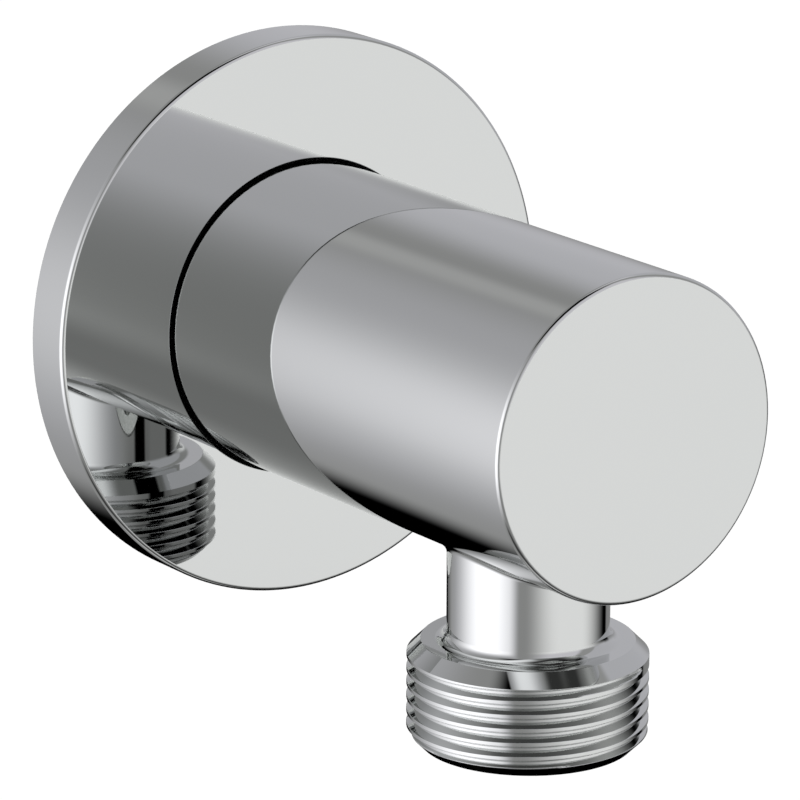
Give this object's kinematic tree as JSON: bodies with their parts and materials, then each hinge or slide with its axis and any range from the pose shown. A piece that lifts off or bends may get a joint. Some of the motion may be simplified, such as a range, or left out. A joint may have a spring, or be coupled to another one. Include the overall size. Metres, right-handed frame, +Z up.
{
  "type": "wall outlet elbow",
  "caption": "Chrome wall outlet elbow: a round flange, a plain round body standing out of the wall and a threaded outlet pointing down for a shower hose.",
  "frame": {"origin": "centre of the flange's back, on the face of the wall and on the axis of the inlet nipple", "axes": "+Y along the nipple into the wall, so the body stands out along -Y; -Z along the outlet, pointing down; +Z up"},
  "size_m": [0.0514, 0.07, 0.0562],
  "materials": {
    "body_chrome": "polished chrome plate on brass",
    "flange_chrome": "polished chrome plate on brass",
    "flange_ring_rubber": "smooth black rubber",
    "nipple_brass": "turned brass",
    "nipple_ring_rubber": "smooth black rubber"
  },
  "bodies": {
    "root": {"elbow_body": "body_chrome", "wall_flange": "flange_chrome", "flange_o_ring": "flange_ring_rubber", "inlet_nipple": "nipple_brass", "nipple_o_ring": "nipple_ring_rubber"}
  },
  "joints": []
}
